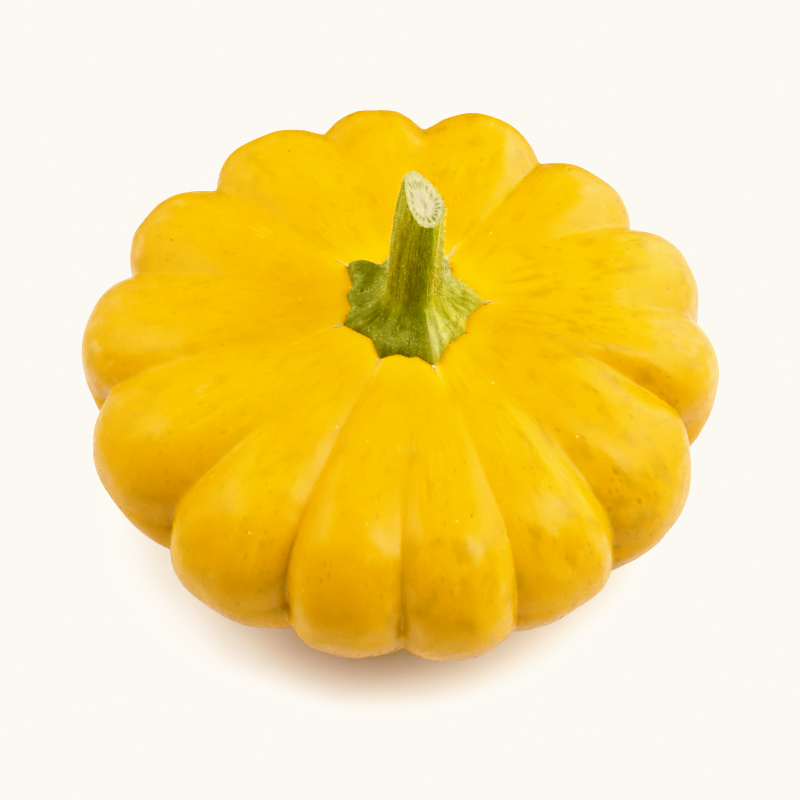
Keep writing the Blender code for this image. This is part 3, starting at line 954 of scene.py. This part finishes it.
def make_hairs(side_points, material):
    """Short stiff hairs all over the stem: thin three-sided spikes that stand out from it and lean about.

    Each hair has a root at a random point of the stem's side, three corners round it, and a tip along the
    normal with a random lean.
    """
    rng = np.random.default_rng(31)
    normals = grid_normals(side_points)
    rows, columns = side_points.shape[:2]
    row = rng.integers(1, rows - 1, HAIR_COUNT)
    column = rng.integers(0, columns, HAIR_COUNT)
    root = side_points[row, column]
    normal = normals[row, column]
    lean = rng.normal(size=(HAIR_COUNT, 3)) * HAIR_LEAN
    direction = normal + lean
    direction /= np.linalg.norm(direction, axis=1, keepdims=True)
    from_front = apart(np.degrees(star_columns()[column]), BARE_SIDE)
    bare = hump(from_front, 0, BARE_WIDTH) * eased((root[:, 2] - CROWN - 2 * MM) / (5 * MM))
    length = (rng.uniform(*HAIR_LENGTHS_MM, HAIR_COUNT) * (1 - BARE_SHARE * bare))[:, None] * MM
    thick = rng.uniform(*HAIR_THICKNESSES_MM, HAIR_COUNT)[:, None] * MM
    sideways = np.cross(direction, [0.3, 0.2, 0.93])
    sideways /= np.linalg.norm(sideways, axis=1, keepdims=True)
    other = np.cross(direction, sideways)
    start = root - HAIR_SUNK * normal
    corners = [
        start + thick * (math.cos(turn) * sideways + math.sin(turn) * other)
        for turn in (0, 2 * math.pi / 3, 4 * math.pi / 3)
    ]
    points = np.stack([*corners, root + direction * length], axis=1)
    first = np.arange(HAIR_COUNT)[:, None] * 4
    spike = ((0, 1, 3), (1, 2, 3), (2, 0, 3), (0, 2, 1))
    faces = np.concatenate([first + np.array(face) for face in spike])
    return mesh_piece("stem_hairs", points, faces.tolist(), material)


# Dry remnants at the foot's points: bearing, start from the axis, length, half-width (mm), turn (degrees)
DRY_TIPS = (
    (4, 14.6, 3.0, 0.32, 6), (4, 14.4, 2.2, 0.22, -16), (58, 14.0, 4.6, 0.4, 3),
    (58, 13.8, 3.0, 0.28, -12), (139, 15.9, 3.6, 0.34, 4), (199, 13.2, 4.4, 0.36, 2),
    (199, 13.0, 3.0, 0.26, -14), (246, 13.2, 2.6, 0.26, 8), (246, 13.2, 2.2, 0.2, -14),
    (288, 15.0, 2.6, 0.36, 3), (288, 15.0, 2.0, 0.26, -18), (330, 12.4, 1.6, 0.2, 5),
    (98, 14.0, 3.0, 0.3, 4),
)
TIP_STEPS = 14
TIP_SIDES = 8


def make_dry_tips(skin, material):
    """Thin dry slivers where the foot's points end: flattened tapering rods along the skin that curl up.

    Each one's middle line is straight from above, and its height is a parabola fitted to the skin's.
    """
    heights = np.array([vertex.co for vertex in skin.data.vertices])
    heights = heights[heights[:, 2] > CROWN - 14 * MM]
    all_points, all_faces, count = [], [], 0
    for bearing, start, length, width, turn in DRY_TIPS:
        share = np.linspace(0, 1, TIP_STEPS)
        heading = math.radians(bearing + turn)
        outwards = np.array([math.cos(math.radians(bearing)), math.sin(math.radians(bearing))])
        along = [math.cos(heading), math.sin(heading)]
        path = CROWN_SHIFT + start * MM * outwards + np.outer(share * length * MM, along)
        distance = np.linalg.norm(path[:, None] - heights[None, :, :2], axis=2)
        nearest = heights[distance.argmin(axis=1), 2]
        smooth = np.polyval(np.polyfit(share, nearest, 2), share)
        around = np.linspace(0, 2 * math.pi, TIP_SIDES, endpoint=False)[None, :]
        taper = ((1 - share) ** 0.7 * (0.55 + 0.45 * np.sin(share * 9 + bearing)) + 0.04)[:, None]
        sideways = width * MM * taper * np.cos(around)
        up = 0.45 * width * MM * taper * np.sin(around) + 0.12 * MM + 0.25 * MM * (share**2)[:, None]
        points = np.stack([
            path[:, :1] - math.sin(heading) * sideways,
            path[:, 1:] + math.cos(heading) * sideways,
            smooth[:, None] + up,
        ], axis=-1)
        ends = points.mean(axis=1)
        all_points.append(with_poles(points, ends[0], ends[-1]))
        faces = closed_grid_faces(TIP_STEPS, TIP_SIDES)
        all_faces.extend([[corner + count for corner in face] for face in faces])
        count += TIP_STEPS * TIP_SIDES + 2
    return mesh_piece("stem_dry_tips", np.concatenate(all_points), all_faces, material)


# The camera, and the lights round the squash
CAMERA_ELEVATION = 53.495
CAMERA_DISTANCE = 0.7259
CAMERA_LENS = 158.66
CAMERA_TARGET = (-0.00013, 0.0, 0.027344)
FLOOR_HALF_WIDTH = 4.0
FLOOR_FOR_BOUNCE = (0.80, 0.76, 0.71, 1)
FLOOR_NEAR_IN_GLEAMS = (0.74, 0.69, 0.60, 1)
FLOOR_FAR_IN_GLEAMS = (0.04, 0.04, 0.03, 1)
FLOOR_AT_THE_SIDES_IN_GLEAMS = (0.55, 0.52, 0.46, 1)
# The floor's painted contact shadow, and the floor in the open, as the camera sees them
FLOOR_PAINTED_CONTACT_SHADOW = (0.84, 0.74, 0.60, 1)
FLOOR_IN_THE_OPEN = (1.38, 1.38, 1.34, 1)


def direction_from(azimuth, elevation):
    """Unit vector towards a place in the sky, azimuth from +X towards +Y, both in degrees."""
    azimuth, elevation = math.radians(azimuth), math.radians(elevation)
    flat = math.cos(elevation)
    return Vector((flat * math.cos(azimuth), flat * math.sin(azimuth), math.sin(elevation)))


def add_light(name, kind, azimuth, elevation, distance, energy, colour):
    """A light that looks at the squash from this direction."""
    data = bpy.data.lights.new(name, kind)
    data.energy = energy
    data.color = colour
    light = bpy.data.objects.new(name, data)
    bpy.context.scene.collection.objects.link(light)
    towards = direction_from(azimuth, elevation)
    light.location = Vector((0, 0, 0.03)) + towards * distance
    light.rotation_euler = towards.to_track_quat("Z", "Y").to_euler()
    return light


# Soft suns that light without a gleam: name, azimuth, elevation, width (degrees), strength
SUNS = (
    ("sun_right", 356, 41, 40, 3.4),
    ("sun_left", 164, 38, 46, 3.2),
    ("sun_top", 45, 80, 50, 2.3),
)
SUN_COLOUR = (1, 0.985, 0.96)
# Softboxes: name, azimuth, elevation (degrees), width, height (m), radiance, whether it only gleams
SOFTBOXES = (
    ("softbox_right_low", 30, 9, 3.5, 0.9, 2.2, False),
    ("softbox_right_high", 26, 31, 2.2, 0.95, 2.8, False),
    ("softbox_left", 150, 20, 2.6, 1.9, 0.9, False),
    ("softbox_front_right", 339, 46, 0.8, 1.8, 4.0, True),
    ("softbox_left_high", 175, 50, 1.3, 0.8, 2.3, True),
)
LIGHT_DISTANCE = 2.4
SOFTBOX_COLOUR = (1, 0.97, 0.92)
# The surroundings' brightness, and what is added to it as the camera and as gleams see it
SURROUNDINGS = 0.05
SURROUNDINGS_SEEN = 1.75
SURROUNDINGS_IN_GLEAMS = 0.15


def light_the_scene():
    """Soft suns right, left and overhead, softboxes that gleam in the skin, and a white backdrop."""
    for name, azimuth, elevation, width, strength in SUNS:
        sun = add_light(name, "SUN", azimuth, elevation, LIGHT_DISTANCE, strength, SUN_COLOUR)
        sun.data.angle = math.radians(width)
        sun.visible_glossy = False
    for name, azimuth, elevation, width, height, radiance, only_gleams in SOFTBOXES:
        energy = radiance * math.pi * width * height
        light = add_light(name, "AREA", azimuth, elevation, LIGHT_DISTANCE, energy, SOFTBOX_COLOUR)
        light.data.shape = "RECTANGLE"
        light.data.size = width
        light.data.size_y = height
        light.visible_diffuse = not only_gleams
    world = bpy.data.worlds.new("surroundings")
    bpy.context.scene.world = world
    world.use_nodes = True
    tree = world.node_tree
    ray = node(tree, "ShaderNodeLightPath").outputs
    seen = times(tree, ray["Is Camera Ray"], SURROUNDINGS_SEEN)
    in_gleams = times(tree, ray["Is Glossy Ray"], SURROUNDINGS_IN_GLEAMS)
    strength = maths(tree, "ADD", maths(tree, "ADD", SURROUNDINGS, seen), in_gleams)
    tree.links.new(strength, tree.nodes["Background"].inputs["Strength"])
    tree.nodes["Background"].inputs["Color"].default_value = (1, 0.97, 0.93, 1)


def add_camera():
    """The camera of the photograph: above and in front, a long lens."""
    elevation = math.radians(CAMERA_ELEVATION)
    back = Vector((0, -math.cos(elevation), math.sin(elevation)))
    data = bpy.data.cameras.new("camera")
    data.lens = CAMERA_LENS
    data.sensor_width = 36
    camera = bpy.data.objects.new("camera", data)
    bpy.context.scene.collection.objects.link(camera)
    camera.location = Vector(CAMERA_TARGET) + back * CAMERA_DISTANCE
    camera.rotation_euler = back.to_track_quat("Z", "Y").to_euler()
    bpy.context.scene.camera = camera


def add_floor():
    """The white surface that the squash stands on: bright in the open, with a warmer, dimmer painted
    shadow round the squash where the camera sees it.

    In the skin's gleams it is bright near the squash and far out to the sides, and dark elsewhere.
    """
    half = FLOOR_HALF_WIDTH
    corners = [(-half, -half, 0), (half, -half, 0), (half, half, 0), (-half, half, 0)]
    data = bpy.data.meshes.new("floor")
    data.from_pydata(corners, [], [(0, 1, 2, 3)])
    material, tree, surface = new_material("floor_white")
    ray = node(tree, "ShaderNodeLightPath").outputs
    place = node(tree, "ShaderNodeTexCoord").outputs["Object"]
    away = node(tree, "ShaderNodeVectorMath", {0: place}, operation="LENGTH").outputs["Value"]
    # Painted shadow: as the camera sees it, the floor turns warmer and dimmer within about 44 to 64 mm of
    # the axis
    seen = blend(tree, ranged(tree, away, 44 * MM, 64 * MM), FLOOR_PAINTED_CONTACT_SHADOW, FLOOR_IN_THE_OPEN)
    parts = node(tree, "ShaderNodeSeparateXYZ", {0: place}).outputs
    to_the_right = ranged(tree, parts["X"], 0.05, 0.12)
    to_the_left = times(tree, ranged(tree, parts["X"], -0.08, -0.14), 0.7)
    to_the_sides = maths(tree, "MAXIMUM", to_the_right, to_the_left)
    far = blend(tree, to_the_sides, FLOOR_FAR_IN_GLEAMS, FLOOR_AT_THE_SIDES_IN_GLEAMS)
    gleam = blend(tree, ranged(tree, away, 85 * MM, 150 * MM), FLOOR_NEAR_IN_GLEAMS, far)
    colour = blend(tree, ray["Is Glossy Ray"], FLOOR_FOR_BOUNCE, gleam)
    tree.links.new(blend(tree, ray["Is Camera Ray"], colour, seen), surface.inputs["Base Color"])
    surface.inputs["Roughness"].default_value = 0.9
    surface.inputs["Specular IOR Level"].default_value = 0.2
    data.materials.append(material)
    floor = bpy.data.objects.new("floor", data)
    bpy.context.scene.collection.objects.link(floor)


# The tone curve: brightness that shows as full white, what each channel's paper shows as, and points of
# brightness and what they show as
WHITE_LEVEL = 1.5
PAPER = (0.973, 0.947, 0.896)
TONES = ((0.3, 0.3), (0.6, 0.6), (0.8, 0.75), (1.0, 0.86), (1.25, 0.945))
BLUE_TOE = ((0.05, 0.002), (0.08, 0.014), (0.11, 0.05), (0.15, 0.12), (0.2, 0.19))


def set_tone_curve():
    """A photograph's tone: even up to about half brightness, then rolling off to a warm paper white.

    Faint blue is held down too, as when a strong yellow goes beyond what a camera can record.
    """
    view = bpy.context.scene.view_settings
    view.view_transform = "Standard"
    view.use_curve_mapping = True
    mapping = view.curve_mapping
    mapping.white_level = (WHITE_LEVEL, WHITE_LEVEL, WHITE_LEVEL)
    mapping.extend = "HORIZONTAL"
    for channel, (paper, toe) in enumerate(zip(PAPER, ((), (), BLUE_TOE))):
        points = mapping.curves[channel].points
        points[-1].location = (1.0, paper)
        for bright, shown in (*toe, *TONES):
            points.new(bright / WHITE_LEVEL, min(shown, paper - 0.02 * (WHITE_LEVEL - bright)))
    mapping.update()


def main():
    """The whole scene: the squash's pieces, then the floor, the lights, the camera and the tone."""
    marks, patches = make_scattered_marks(), make_soft_patches()
    skin = make_skin(make_skin_material(marks, patches))
    side_points = make_stem(make_stem_material(marks, patches))
    make_hairs(side_points, make_plain_material("stem_hair", HAIR_COLOUR, 0.5))
    make_dry_tips(skin, make_plain_material("dry_peach", DRY_TIP_COLOUR, 0.7))
    add_floor()
    light_the_scene()
    add_camera()
    set_tone_curve()


main()
